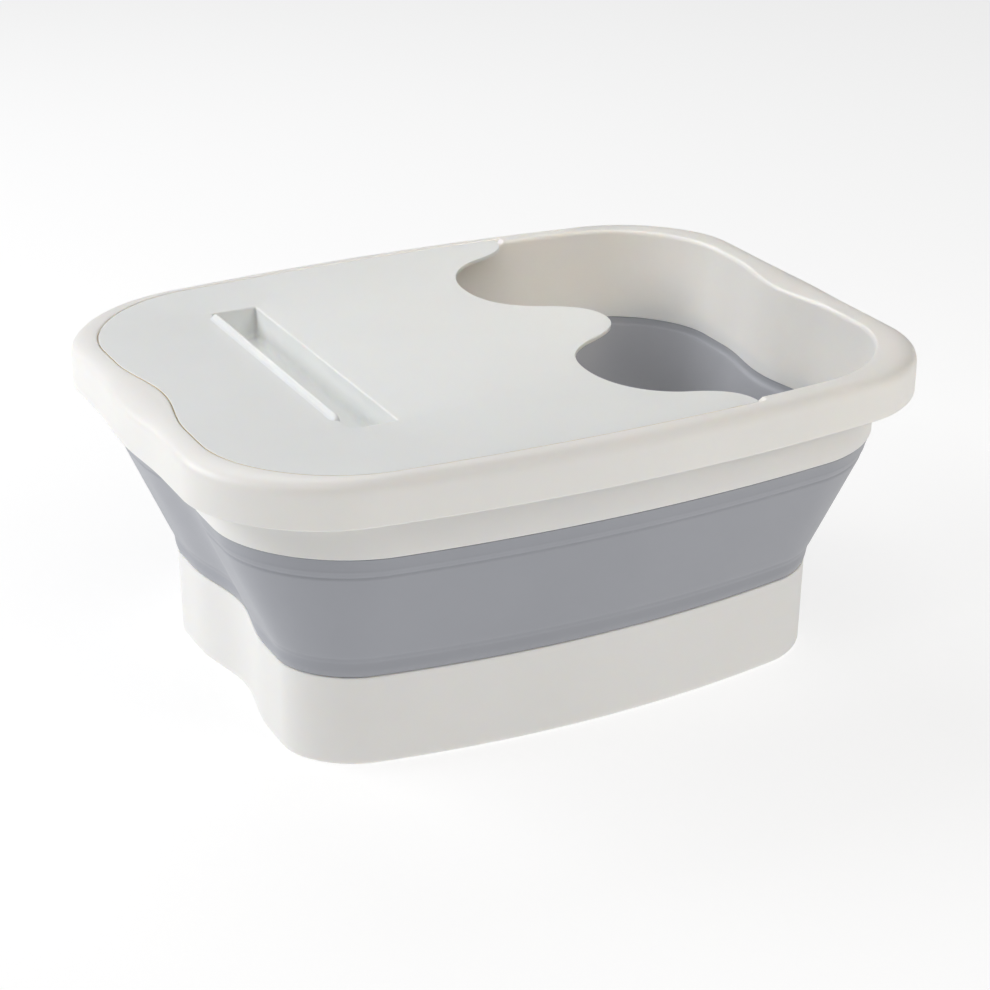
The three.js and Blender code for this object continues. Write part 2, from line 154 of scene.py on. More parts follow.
ROLLER_COUNT = 4
ROLLER_PITCH = 38
ROLLER_SIDES = 96
ROLLER_BORE = 2.3  # radius
ROLLER_RIBS = 3
RIB_HALF_WIDTH = 6.2  # to the middle of its flank
RIB_FLANK = 3.6
RIB_HEIGHT = 3.6
NUB_HEIGHT = 1.1
NUB_RADIUS = 2.1
NUB_ROW = 3.1  # from the middle of a rib to each of its two rows of nubs
NUBS_AROUND = 12
PIN_RADIUS = 2
PIN_HEAD_RADIUS = 3.4
PIN_HEAD_THICK = 1.2
SMALL_EDGE = 0.35  # radius of the rounded edges of the pins and the foot pads

CRADLE_Y = 58
CRADLE_CORNER = 10
CRADLE_FLOOR = 2
CHEEK_Y = (33, 36)  # a cheek's two faces, from the middle of the cradle
CHEEK_HALF_LENGTH = 74.5
CHEEK_HEIGHT = 9.2
LUG_RADIUS = 6
LUG_FOOT = 7.5  # half the width of a lug where it leaves the cheek
BAR_X = 73
BAR_HALF_THICK = 1.5
BAR_HALF_LENGTH = 34
SINK = 1  # how far a part of the cradle reaches into the one it joins
STUD_PLACES = [(x, y) for x in (-80, 80) for y in (-32, 32)]
STUD_RADIUS = 3
STUD_HOLE_RADIUS = 3.3
STUD_TOP = 8
STUD_EDGE = 0.8
CRADLE_BEVEL = 0.45

FLOOR_NUB_RADIUS = 3.0
FLOOR_NUB_HEIGHT = 1.6
FLOOR_NUB_PITCH = 12
FLOOR_NUB_GRID = (150, 96)  # half lengths of the grid that the nubs stand on
FLOOR_ROOT = 0.4  # how far a nub or stud reaches down into the floor
CRADLE_ROOM = (94, 48)  # no nub stands within these half lengths of a cradle's middle
NUB_REACH = 178  # a nub's |x| + |y| / 2 stays below this, clear of the tub's rounded corners
TREAD_RINGS = ((0.3, 0.48), (0.64, 0.82))  # where each ring begins and ends, as shares of a pad's radius
TREAD_FLANK = 0.04
TREAD_DEPTH = 0.5

# The camera and the floor, in metres.
CAMERA_ANGLES = (-27.4, 24.1, 0.2)  # bearing, height and roll, in degrees
CAMERA_TARGET = (0, 0, 0.110)
CAMERA_SHIFT = (0.0032, -0.0133)  # across the picture and up it
CAMERA_DISTANCE = 1.4946
CAMERA_LENS = 86.4  # focal length in millimetres
FLOOR_HALF = 12


# ----------------------------------------------------------------------------------------------------------
# Meshes
# ----------------------------------------------------------------------------------------------------------
def linked(name, verts, faces):
    """A mesh object from points in millimetres."""
    mesh = bpy.data.meshes.new(name)
    mesh.from_pydata([tuple(float(c) * MM for c in v) for v in verts], [], faces)
    mesh.validate()
    mesh.update()
    obj = bpy.data.objects.new(name, mesh)
    bpy.context.scene.collection.objects.link(obj)
    return obj


def shown(name, verts, faces, body, material, nodes=(), smooth=True):
    """A piece in its material and slot, riding on a body and standing for the named CAD nodes."""
    piece = linked(name, verts, faces)
    if smooth:
        piece.data.shade_smooth()
    piece.data.materials.append(material)
    if nodes:
        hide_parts(*nodes)
    if body:
        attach(piece, body)
    return piece


def joined(meshes):
    """The points and faces of several meshes as one."""
    verts = []
    faces = []
    count = 0
    for points, polygons in meshes:
        verts.append(points)
        faces.extend(tuple(i + count for i in polygon) for polygon in polygons)
        count += len(points)
    return np.vstack(verts), faces


def arc(x, y, radius, angles):
    """Points on a circle at the given angles."""
    return [(x + radius * math.cos(t), y + radius * math.sin(t)) for t in angles]


def inset(shape, distance):
    """The outline drawn in on every side. A negative distance makes it larger."""
    *sizes, bow, dent = shape
    return (*(size - distance for size in sizes), bow, dent)


def at(shape, z):
    """A level of a loft: an outline and its height."""
    return np.array([*shape, z], float)


def side_stations():
    """Places along a long side, close together where the lid's rebate runs out."""
    low, high = REBATE_STEP
    fine = np.arange(low - 3, high + 3.1, 0.5)
    coarse = [x for x in np.arange(-125, 126, 5.0) if not low - 3 < abs(x) < high + 3]
    return sorted(set(coarse) | set(fine) | set(-fine))


END_STEPS = 64
CORNER_STEPS = 32
HOLD = 0.3  # how far past a rounded corner a level keeps the shading flat
SIDE_X = side_stations()


def ring(level):
    """The points of a level, anticlockwise from above, from the +X end round by +Y."""
    a, b, right_corner, left_corner, bow, dent, z = level
    right_x, right_y = a - right_corner, b - right_corner
    left_x, left_y = left_corner - a, b - left_corner
    right_end = [(a, -right_y + 2 * right_y * i / END_STEPS) for i in range(END_STEPS)]
    left_end = [(-a, left_y - 2 * left_y * i / END_STEPS) for i in range(END_STEPS)]
    before, after = (right_x + SIDE_X[-1]) / 2, (left_x + SIDE_X[0]) / 2
    back_side = [(x, b) for x in (right_x, before, *reversed(SIDE_X), after)]
    front_side = [(x, -b) for x in (left_x, after, *SIDE_X, before)]
    turns = []
    for quarter, (x, y, corner) in enumerate((
        (right_x, right_y, right_corner),
        (left_x, left_y, left_corner),
        (left_x, -left_y, left_corner),
        (right_x, -right_y, right_corner),
    )):
        angles = [(quarter + i / CORNER_STEPS) * math.pi / 2 for i in range(CORNER_STEPS)]
        turns.append(arc(x, y, corner, angles))
    points = np.array(
        right_end + turns[0] + back_side + turns[1] + left_end + turns[2] + front_side + turns[3]
    )
    points[:, 1] *= 1 - (bow / b) * (points[:, 0] / a) ** 2
    inside = np.abs(points[:, 1]) < DENT_HALF_WIDTH
    bump = np.where(inside, 0.5 + 0.5 * np.cos(math.pi * points[:, 1] / DENT_HALF_WIDTH), 0)
    points[:, 0] -= np.sign(points[:, 0]) * dent * bump
    return lifted(points, z)


def span(p, q):
    """How far apart two levels are, along X and in height."""
    return math.hypot(q[0] - p[0], q[-1] - p[-1])


def rounded(corners, closed, steps):
    """Levels through a list of (level, radius), with each corner rounded and its shading held close.

    The radii alone decide how many levels are made, so that two sections can be joined.
    """
    levels = []
    count = len(corners)
    for i, (here, radius) in enumerate(corners):
        if radius == 0 or (not closed and i in (0, count - 1)):
            levels.append(here)
            continue
        before, after = corners[i - 1][0], corners[(i + 1) % count][0]
        room_before, room_after = span(here, before), span(here, after)
        to_before, to_after = (before - here) / room_before, (after - here) / room_after
        cut_before, cut_after = min(radius, room_before * 0.44), min(radius, room_after * 0.44)
        start, end = here + to_before * cut_before, here + to_after * cut_after
        levels.append(start + to_before * min(HOLD, room_before * 0.05))
        for t in np.linspace(0, 1, steps + 1):
            levels.append((1 - t) ** 2 * start + 2 * t * (1 - t) * here + t**2 * end)
        levels.append(end + to_after * min(HOLD, room_after * 0.05))
    return levels


def groove(start, end, place, width, depth):
    """Levels between two others, with a shallow rounded groove at a share of the way between them."""
    length = span(start, end)
    made = []
    for offset, share in ((-1, 0), (-0.6, 0.35), (-0.25, 0.9), (0, 1), (0.25, 0.9), (0.6, 0.35), (1, 0)):
        t = place + offset * width / 2 / length
        level = start + (end - start) * t
        made.append((np.concatenate([level[:4] - depth * share, level[4:]]), 0))
    return made


def skin(rings, closed, caps=(False, False)):
    """Faces over a list of rings of points. Caps close the first and the last ring."""
    n = len(rings[0])
    verts = np.vstack(rings)
    faces = []
    for i in range(len(rings) if closed else len(rings) - 1):
        low, high = i * n, ((i + 1) % len(rings)) * n
        for j in range(n):
            k = (j + 1) % n
            faces.append((low + j, low + k, high + k, high + j))
    if caps[0]:
        faces.append(tuple(reversed(range(n))))
    if caps[1]:
        faces.append(tuple((len(rings) - 1) * n + j for j in range(n)))
    return verts, faces


class Builder:
    """Collects rings of points into one mesh, with flat faces between loops that may have holes."""

    def __init__(self):
        self.verts = []
        self.faces = []

    def loop(self, points):
        """Adds a ring of points and gives their numbers."""
        start = len(self.verts)
        self.verts.extend(np.asarray(points, float))
        return list(range(start, start + len(points)))

    def band(self, low, high):
        """Faces between two loops of the same length."""
        for j in range(len(low)):
            k = (j + 1) % len(low)
            self.faces.append((low[j], low[k], high[k], high[j]))

    def flat(self, loops, up):
        """Fills the plane inside the first loop and outside the others."""
        order = [i for loop in loops for i in loop]
        plan = [Vector(self.verts[i][:2]) for i in order]
        edges = []
        start = 0
        for loop in loops:
            count = len(loop)
            edges += [(start + i, start + (i + 1) % count) for i in range(count)]
            start += count
        points, _, triangles, origins, _, _ = delaunay_2d_cdt(plan, edges, [], 0, 1e-7)
        ends = np.array([(plan[a], plan[b]) for a, b in edges])
        for triangle in triangles:
            middle = sum((points[i] for i in triangle), Vector((0, 0))) / 3
            if crossings(ends, middle) % 2:
                a, b, c = (order[origins[i][0]] for i in triangle)
                self.faces.append((a, b, c) if up else (c, b, a))


def crossings(ends, point):
    """How many of the edges a ray from the point along X meets."""
    (x0, y0), (x1, y1) = ends[:, 0].T, ends[:, 1].T
    spans = (y0 > point.y) != (y1 > point.y)
    with np.errstate(divide="ignore", invalid="ignore"):
        at_x = x0 + (point.y - y0) / (y1 - y0) * (x1 - x0)
    return int(np.count_nonzero(spans & (at_x > point.x)))


def moved_in(points, distance):
    """A closed plan outline, anticlockwise, drawn in by a distance."""
    points = np.asarray(points, float)[:, :2]
    ahead = np.roll(points, -1, 0) - points
    ahead /= np.linalg.norm(ahead, axis=1)[:, None]
    normal = np.column_stack([-ahead[:, 1], ahead[:, 0]])
    both = normal + np.roll(normal, 1, 0)
    both /= np.maximum(np.linalg.norm(both, axis=1), 0.5)[:, None]
    miter = np.clip((both * normal).sum(1), 0.5, 1)
    return points + both * (distance / miter)[:, None]


def lifted(points, z):
    """Plan points at a height."""
    return np.column_stack([points, np.full(len(points), z)])


def bezier(p0, p1, p2, p3, count):
    """Points on a curve from p0 towards p3, without the last."""
    t = np.linspace(0, 1, count, endpoint=False)[:, None]
    p0, p1, p2, p3 = (np.array(p, float) for p in (p0, p1, p2, p3))
    return (1 - t) ** 3 * p0 + 3 * t * (1 - t) ** 2 * p1 + 3 * t**2 * (1 - t) * p2 + t**3 * p3


def turned(profile, sides):
    """A closed body turned about Z from (radius, height) pairs that start and end on the axis."""
    angles = 2 * math.pi * np.arange(sides) / sides
    rings = [lifted(arc(0, 0, radius, angles), z) for radius, z in profile[1:-1]]
    verts, faces = skin(rings, False)
    verts = np.vstack([verts, [0, 0, profile[0][1]], [0, 0, profile[-1][1]]])
    bottom, top, last = len(verts) - 2, len(verts) - 1, (len(rings) - 1) * sides
    for j in range(sides):
        k = (j + 1) % sides
        faces.append((bottom, k, j))
        faces.append((top, last + j, last + k))
    return verts, faces


def softened(profile, radius):
    """A (radius, height) profile with all corners rounded but its two ends."""
    made = [profile[0]]
    for before, here, after in zip(profile, profile[1:], profile[2:]):
        p, q, r = (np.array(v, float) for v in (before, here, after))
        cut_p = min(radius, np.linalg.norm(p - q) * 0.45)
        cut_r = min(radius, np.linalg.norm(r - q) * 0.45)
        start = q + (p - q) / max(np.linalg.norm(p - q), 1e-9) * cut_p
        end = q + (r - q) / max(np.linalg.norm(r - q), 1e-9) * cut_r
        for t in np.linspace(0, 1, 4):
            made.append(tuple((1 - t) ** 2 * start + 2 * t * (1 - t) * q + t**2 * end))
    return made + [profile[-1]]


def apply_modifiers(piece):
    """Replaces a piece's mesh by what its modifiers make of it."""
    bpy.context.view_layer.update()
    made = bpy.data.meshes.new_from_object(piece.evaluated_get(bpy.context.evaluated_depsgraph_get()))
    piece.modifiers.clear()
    piece.data = made


def helper(verts, faces):
    """A mesh that only cuts or joins others, and is deleted afterwards."""
    return linked("helper", verts, faces)


def combine(piece, others, operation):
    """Joins helpers to a piece or cuts them out of it."""
    for other in others:
        modifier = piece.modifiers.new("cut", "BOOLEAN")
        modifier.operation = operation
        modifier.solver = "EXACT"
        modifier.object = other
    apply_modifiers(piece)
    for other in others:
        bpy.data.objects.remove(other)


# ----------------------------------------------------------------------------------------------------------
# Materials
# ----------------------------------------------------------------------------------------------------------
ROUGHNESS_SPREAD = 0.06
LIGHT_DEPTH = 0.003  # how far light reaches into the glowing plastics, in metres
UNEVENNESS = 0.00012  # depth of the slow waves in every surface, in metres


class Finish:
    """A procedural material: slow colour variation, fine grain in the bump, and uneven roughness."""

    def __init__(
        self, name, color, roughness, grain, grain_depth, mottle=0.02, sheen=0, metallic=0, glow=0
    ):
        self.material = bpy.data.materials.new(name)
        self.material.use_nodes = True
        self.tree = self.material.node_tree
        self.shader = next(n for n in self.tree.nodes if n.type == "BSDF_PRINCIPLED")
        self.coordinates = self.node("ShaderNodeTexCoord").outputs["Object"]
        self.shader.inputs["Metallic"].default_value = metallic
        self.shader.inputs["Sheen Weight"].default_value = sheen
        self.shader.inputs["Sheen Roughness"].default_value = 0.5
        self.shader.inputs["Subsurface Weight"].default_value = glow
        self.shader.inputs["Subsurface Radius"].default_value = (1.0, 0.8, 0.55)
        self.shader.inputs["Subsurface Scale"].default_value = LIGHT_DEPTH
        self.color(color, mottle)
        self.roughness(roughness)
        self.height = None
        self.bump(self.noise(grain, 3, 0.6), grain_depth)
        self.bump(self.noise(14, 2, 0.5), UNEVENNESS)

    def node(self, kind, **inputs):
        made = self.tree.nodes.new(kind)
        for key, value in inputs.items():
            made.inputs[key.replace("_", " ")].default_value = value
        return made

    def link(self, output, target):
        self.tree.links.new(output, target)

    def noise(self, scale, detail, roughness):
        made = self.node("ShaderNodeTexNoise", Scale=scale, Detail=detail, Roughness=roughness)
        self.link(self.coordinates, made.inputs["Vector"])
        return made.outputs["Fac"]

    def ramp(self, value, low, high):
        """A colour or grey between two others, over the middle of the value's range."""
        made = self.node("ShaderNodeValToRGB")
        start, end = made.color_ramp.elements
        start.position, end.position = 0.3, 0.7
        start.color, end.color = (*low, 1), (*high, 1)
        self.link(value, made.inputs["Fac"])
        return made.outputs["Color"]

    def color(self, color, mottle):
        low = [c * (1 - mottle) for c in color]
        high = [min(c * (1 + mottle), 1) for c in color]
        patches = self.noise(9, 4, 0.55)
        self.link(self.ramp(patches, low, high), self.shader.inputs["Base Color"])

    def roughness(self, middle):
        low, high = (middle - ROUGHNESS_SPREAD,) * 3, (middle + ROUGHNESS_SPREAD,) * 3
        patches = self.noise(35, 3, 0.6)
        self.link(self.ramp(patches, low, high), self.shader.inputs["Roughness"])

    def bump(self, height, distance):
        made = self.node("ShaderNodeBump", Strength=1.0, Distance=distance)
        self.link(height, made.inputs["Height"])
        if self.height:
            self.link(self.height, made.inputs["Normal"])
        self.height = made.outputs["Normal"]
        self.link(self.height, self.shader.inputs["Normal"])


def make_materials():
    shell = Finish("shell_plastic", (0.91, 0.9, 0.875), 0.42, 1900, 0.00004, glow=0.3)
    lid = Finish("lid_plastic", (0.84, 0.855, 0.848), 0.52, 1500, 0.00007, mottle=0.015, glow=0.3)
    # painted shade: a tan colour on the lid's edge, standing for the shade in the gap round the rim
    painted_gap_shade = Finish("lid_edge_painted_shade", (0.78, 0.67, 0.47), 0.6, 1500, 0.00007)
    rubber = Finish("wall_rubber", (0.36, 0.372, 0.41), 0.58, 2300, 0.00003, mottle=0.03, sheen=0.25)
    roller = Finish("roller_plastic", (0.42, 0.44, 0.47), 0.4, 1700, 0.00003)
    cradle = Finish("cradle_plastic", (0.74, 0.735, 0.715), 0.45, 1700, 0.00004)
    pad = Finish("pad_rubber", (0.12, 0.122, 0.13), 0.75, 1300, 0.0001, mottle=0.06, sheen=0.2)
    steel = Finish("axle_steel", (0.6, 0.61, 0.63), 0.3, 2500, 0.00001, metallic=1.0)
    return {
        "shell": shell.material,
        "lid": lid.material,
        "painted_gap_shade": painted_gap_shade.material,
        "rubber": rubber.material,
        "roller": roller.material,
        "cradle": cradle.material,
        "pad": pad.material,
        "steel": steel.material,
    }


# ----------------------------------------------------------------------------------------------------------
# The rim, the rubber wall and the base tub
# ----------------------------------------------------------------------------------------------------------
def crown():
    """The rim's top, as levels from the skirt up to the lid's seat. It is fuller than an ellipse."""
    skirt, seat = at(RIM, HEIGHT), at(LID_SEAT, HEIGHT)
    made = []
    for angle in np.linspace(0, math.pi / 2, 17)[:-1]:
        out, up = math.cos(angle) ** (2 / CROWN_FULLNESS), math.sin(angle) ** (2 / CROWN_FULLNESS)
        level = seat + (skirt - seat) * out
        level[-1] = HEIGHT - CROWN_DROP * (1 - up)
        made.append((level, 0))
    return made


def rim_section(rebated):
    """The rim's section: up the skirt, over the crown, across the seat and down the mouth's wall."""
    if rebated:
        seat_z = HEIGHT - REBATE_DEPTH
        seat = [(at(LID_SEAT, HEIGHT), 1.3), (at(LID_SEAT, seat_z), 0.5), (at(WALL_TOP, seat_z), 1.2)]
    else:
        outer, inner = inset(LID_SEAT, -0.2), inset(LID_SEAT, 1.2)
        seat = [(at(outer, HEIGHT), 0.5), (at(inner, HEIGHT), 0.4), (at(WALL_TOP, HEIGHT), 3.4)]
    lip = inset(WALL_BOTTOM, -LIP_THICK)
    return [
        (at(RIM, SKIRT_BOTTOM), 1.1),
        *crown(),
        *seat,
        (at(WALL_BOTTOM, LIP_BOTTOM), 0.4),
        (at(lip, LIP_BOTTOM), 0.3),
        (at(lip, COLLAR_BOTTOM), 0.2),
        (at(COLLAR, COLLAR_BOTTOM), 0.9),
        (at(inset(COLLAR, -0.8), FLANGE_BOTTOM), 3),
        (at(inset(RIM, RIM_THICK), FLANGE_BOTTOM), 6),
        (at(inset(RIM, RIM_THICK), SKIRT_BOTTOM), 1.1),
    ]


def rim_shell(material):
    """The rim. Its section changes from rebated to plain where the lid's rebate runs out."""
    low, high = REBATE_STEP
    rings = []
    for rebated, plain in zip(rounded(rim_section(True), True, 7), rounded(rim_section(False), True, 7)):
        first, second = ring(rebated), ring(plain)
        share = np.clip((first[:, 0] - low) / (high - low), 0, 1)[:, None]
        rings.append(first * (1 - share) + second * share)
    verts, faces = skin(rings, True)
    shown("rim_shell", verts, faces, "rim", material, ["rim_ring"])


def wall_skin(material):
    """The rubber wall between the base and the rim, with a soft groove at each crease."""
    foot_out = at(inset(BASE, 0.6), BASE_TOP + GAP)
    band = at(inset(BASE, -0.9), BASE_TOP + 4)
    low_out, high_out = at(CREASE_LOW, CREASE_LOW_Z), at(CREASE_HIGH, CREASE_HIGH_Z)
    head_out = at(inset(COLLAR, 0.6), COLLAR_BOTTOM - GAP)
    head_in = inset(WALL_BOTTOM, -LIP_THICK - GAP)
    high_in = at(inset(CREASE_HIGH, RUBBER_THICK + 0.4), CREASE_HIGH_Z + 2.6)
    low_in = at(inset(CREASE_LOW, RUBBER_THICK), CREASE_LOW_Z + 1)
    foot_in = inset(BASE, BASE_SHELF - GAP)
    corners = [
        (foot_out, 0.3),
        (band, 2),
        (low_out, 1.6),
        *groove(low_out, high_out, 0.055, 4.5, 0.25),
        (high_out, 1.2),
        *groove(high_out, head_out, 0.15, 3.2, 0.45),
        *groove(high_out, head_out, 0.42, 3.5, -0.2),
        (head_out, 0.5),
        (at(head_in, COLLAR_BOTTOM - GAP), 0.2),
        (at(head_in, LIP_BOTTOM - GAP), 0.2),
        (at(inset(WALL_BOTTOM, -0.5), LIP_BOTTOM - GAP), 0.3),
        (at(inset(WALL_BOTTOM, 0.3), CREASE_HIGH_Z + 3.4), 1.4),
        (high_in, 1.0),
        (low_in, 2),
        (at(inset(BASE, BASE_SHELF + BASE_LIP - 0.3), BASE_LIP_TOP + GAP), 0.4),
        (at(foot_in, BASE_LIP_TOP + GAP), 0.2),
        (at(foot_in, BASE_TOP + GAP), 0.2),
    ]
    levels = divided(rounded(corners, True, 4), 4.0)
    verts, faces = skin([ring(level) for level in levels], True)
    piece = shown("wall_skin", verts, faces, None, material, ["folding_wall"])
    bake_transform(piece)


def divided(levels, longest):
    """The closed list of levels with long steps cut up."""
    made = []
    for here, after in zip(levels, levels[1:] + levels[:1]):
        parts = max(1, math.ceil(span(here, after) / longest))
        made.extend(here + (after - here) * i / parts for i in range(parts))
    return made


def pad_places():
    """Each foot pad's name, the place of its middle, its radius and its top."""
    for name in ("near_right", "far_right", "far_left", "near_left"):
        low, high = box_mm(f"foot_pad_{name}")
        yield name, (low[0] + high[0]) / 2, (low[1] + high[1]) / 2, (high[0] - low[0]) / 2, high[2]


def base_shell(material):
    """The tub, with sockets for the foot pads in its underside."""
    shelf, mouth = inset(BASE, BASE_SHELF), inset(BASE, BASE_SHELF + BASE_LIP)
    corners = [
        (at(inset(BASE_FOOT, 9), BASE_BOTTOM), 0),
        (at(BASE_FOOT, BASE_BOTTOM), 3.5),
        (at(BASE, BASE_TOP), 1.3),
        (at(shelf, BASE_TOP), 0.3),
        (at(shelf, BASE_LIP_TOP), 0.3),
        (at(mouth, BASE_LIP_TOP), 0.4),
        (at(inset(BASE_FOOT, 3), FLOOR_TOP), 9),
        (at(inset(BASE_FOOT, 14), FLOOR_TOP), 0),
    ]
    verts, faces = skin([ring(level) for level in rounded(corners, False, 8)], False, (True, True))
    piece = shown("base_shell", verts, faces, "base", material, ["base_tub"])
    cutters = []
    for _, x, y, radius, top in pad_places():
        r = radius + GAP
        verts, faces = turned([(0, -1), (r, -1), (r, top + GAP), (0, top + GAP)], 48)
        cutters.append(helper(verts + np.array([x, y, 0]), faces))
    combine(piece, cutters, "DIFFERENCE")


def dome(x, y):
    """A low nub of the tub's floor."""
    profile = [(0, FLOOR_TOP - FLOOR_ROOT), (FLOOR_NUB_RADIUS, FLOOR_TOP - FLOOR_ROOT)]
    for t in np.linspace(0, 1.45, 7):
        rise = FLOOR_NUB_HEIGHT * math.sin(t)
        profile.append((FLOOR_NUB_RADIUS * math.cos(t), FLOOR_TOP + rise))
    profile.append((0, FLOOR_TOP + FLOOR_NUB_HEIGHT))
    verts, faces = turned(profile, 20)
    return verts + np.array([x, y, 0]), faces


def has_room(x, y):
    """Whether a nub can stand here: clear of the cradles and of the tub's rounded corners."""
    room_x, room_y = CRADLE_ROOM
    beside_cradle = abs(x) > room_x or abs(abs(y) - CRADLE_Y) > room_y
    return beside_cradle and abs(x) + abs(y) / 2 < NUB_REACH


def floor_nubs(material):
    """Low nubs all over the tub's floor, round the cradles."""
    end_x, end_y = FLOOR_NUB_GRID
    along = range(-end_x, end_x + 1, FLOOR_NUB_PITCH)
    across = range(-end_y, end_y + 1, FLOOR_NUB_PITCH)
    verts, faces = joined(dome(x, y) for x in along for y in across if has_room(x, y))
    shown("floor_nubs", verts, faces, "base", material)


def foot_pads(material):
    """Rubber pads with a rounded edge and two rings of tread."""
    for name, x, y, radius, top in pad_places():
        profile = [(0, 0)]
        for start, end in TREAD_RINGS:
            profile += [
                (radius * start, 0),
                (radius * (start + TREAD_FLANK), TREAD_DEPTH),
                (radius * (end - TREAD_FLANK), TREAD_DEPTH),
                (radius * end, 0),
            ]
        profile += [(radius, 0), (radius, top), (0, top)]
        verts, faces = turned(softened(profile, SMALL_EDGE), 64)
        verts = verts + np.array([x, y, 0])
        shown(f"pad_{name}", verts, faces, "base", material, [f"foot_pad_{name}"])


# ----------------------------------------------------------------------------------------------------------
# The lid
# ----------------------------------------------------------------------------------------------------------
def wave_edge(tip_y):
    """The lid's free edge, from the tip at +Y to the tip at -Y, with the tips a little rounded."""
    handle = TIP_RADIUS * 0.45
    below = tip_y - TIP_RADIUS
    start = (TIP_X, below)
    half = [bezier((TIP_X - TIP_RADIUS, tip_y), (TIP_X - handle, tip_y), (TIP_X, tip_y - handle), start, 6)]
    for first, second, end in LID_EDGE:
        half.append(bezier(start, first, second, end, 28))
        start = end
    upper = np.vstack(half)
    return np.vstack([upper, [start], upper[::-1] * (1, -1)])


def lid_outline():
    """The whole edge of the lid, anticlockwise from above."""
    shape = inset(LID_SEAT, LID_CLEARANCE)
    kept = [p for p in ring(at(shape, 0))[:, :2] if p[0] < TIP_X - 3]
    a, b, _, _, bow, _ = shape
    tip_y = b - bow * (TIP_X / a) ** 2
    return np.vstack([np.array(kept), wave_edge(tip_y)[::-1]])


def slot_loop(inwards):
    """The phone slot's edge, anticlockwise, drawn in by a distance."""
    (x0, x1), (y0, y1) = SLOT_X, SLOT_Y
    x0, x1, y0, y1 = x0 + inwards, x1 - inwards, y0 + inwards, y1 - inwards
    round_x, round_y = x0 + SLOT_CORNER, y0 + SLOT_CORNER
    turn = np.linspace(math.pi, math.pi * 1.5, 12, endpoint=False)
    corner = arc(round_x, round_y, SLOT_CORNER, turn)
    right = [(x1, y) for y in np.linspace(y0, y1, 60, endpoint=False)]
    far = [(x, y1) for x in np.linspace(x1, x0, 14, endpoint=False)]
    left = [(x0, y) for y in np.linspace(y1, round_y, 60, endpoint=False)]
    near = [(x, y0) for x in np.linspace(round_x, x1, 12, endpoint=False)]
    return np.array(right + far + left + corner + near)


def sunk(plate, plan, depths):
    """A body that hangs under the lid, from (inset, height) pairs and closed below. Gives its top loop."""
    loops = [plate.loop(lifted(moved_in(plan, distance), z)) for distance, z in depths]
    for high, low in zip(loops, loops[1:]):
        plate.band(high[::-1], low[::-1])
    plate.flat([loops[-1]], False)
    return loops[0]


def lid_side(plate, under):
    """The lid's outer edge, rounded below and above. Gives its loops from the bottom up."""
    levels = [
        (0.5, under),
        (0.15, under + 0.15),
        (0, under + 0.5),
        (0, LID_TOP - 0.4),
        (0.04, LID_TOP - 0.24),
        (0.12, LID_TOP - 0.12),
        (0.24, LID_TOP - 0.04),
        (0.4, LID_TOP),
        (0.7, LID_TOP),
    ]
    outline = lid_outline()
    side = [plate.loop(lifted(moved_in(outline, distance), z)) for distance, z in levels]
    for low, high in zip(side, side[1:]):
        plate.band(low, high)
    return side


def lid_slot(plate):
    """The phone slot: a rounded edge, walls, a fillet and a floor. Gives its top loop."""
    levels = [(-1.2, 0), (-0.85, 0.05), (-0.4, 0.3), (-0.1, 0.75), (0, 1.2)]  # inset, depth
    for angle in np.linspace(0, math.pi / 2, 8):
        inwards = 0.4 + SLOT_FILLET * (1 - math.cos(angle))
        levels.append((inwards, SLOT_DEPTH - SLOT_FILLET * (1 - math.sin(angle))))
    slot = [plate.loop(lifted(slot_loop(inwards), LID_TOP - drop)) for inwards, drop in levels]
    for high, low in zip(slot, slot[1:]):
        plate.band(high, low)
    plate.flat([slot[-1]], True)
    return slot[0]


def lid_panel(material, painted_gap_shade):
    """The lid's plate, its rib and the phone slot's pocket. The edge that sits in the rim is painted tan as
    shade in the gap between the lid and the rim.
    """
    plate = Builder()
    under = LID_TOP - LID_THICK
    side = lid_side(plate, under)
    slot_top = lid_slot(plate)
    plate.flat([side[-1], slot_top], True)

    (x0, x1), (y0, y1) = SLOT_X, SLOT_Y
    wall = POCKET_WALL
    pocket_plan = rounded_box(x0 - wall, x1 + wall, y0 - wall, y1 + wall, POCKET_CORNER)
    pocket_z = LID_TOP - SLOT_DEPTH - wall
    pocket_depths = [(0, under), (0, pocket_z + 1.5), (0.4, pocket_z + 0.4), (1.5, pocket_z)]
    pocket_top = sunk(plate, pocket_plan, pocket_depths)

    rib_z = under - RIB_DEPTH
    rib_depths = [(0, under), (0, rib_z + 0.4), (0.12, rib_z + 0.12), (0.4, rib_z)]
    rib_top = sunk(plate, rib_outline(), rib_depths)
    plate.flat([side[0], pocket_top, rib_top], False)

    piece = shown("lid_panel", plate.verts, plate.faces, "lid", material, ["lid"])
    piece.data.materials.append(painted_gap_shade)
    # painted shade: the faces of the lid's edge inside the rim's gap get the tan colour
    for face in piece.data.polygons:
        x, y, z = (c / MM for c in face.center)
        in_painted_shade = x < PAINTED_SHADE_TIP_X and (abs(y) > PAINTED_SHADE_SIDE_Y or x < PAINTED_SHADE_END_X)
        if in_painted_shade and abs(face.normal.z) < 0.4 and z > under:
            face.material_index = 1


def slot_lip(material):
    """The raised lip along the slot's -X side. Its ends run down into the lid."""
    section = np.array(LIP_SECTION, float)
    x, rise = section.T
    low, high = LIP_Y
    stations = [(low + distance, share) for distance, share in LIP_RUN_OUT]
    stations += [(high - distance, share) for distance, share in reversed(LIP_RUN_OUT)]
    rings = []
    for y, share in stations:
        heights = np.where(rise > 0, rise * share - LIP_SINK * (1 - share), rise)
        rings.append(np.column_stack([x, np.full(len(x), y), LID_TOP + heights]))
    verts, faces = skin(rings, False, (True, True))
    shown("slot_lip", verts, faces, "lid", material)


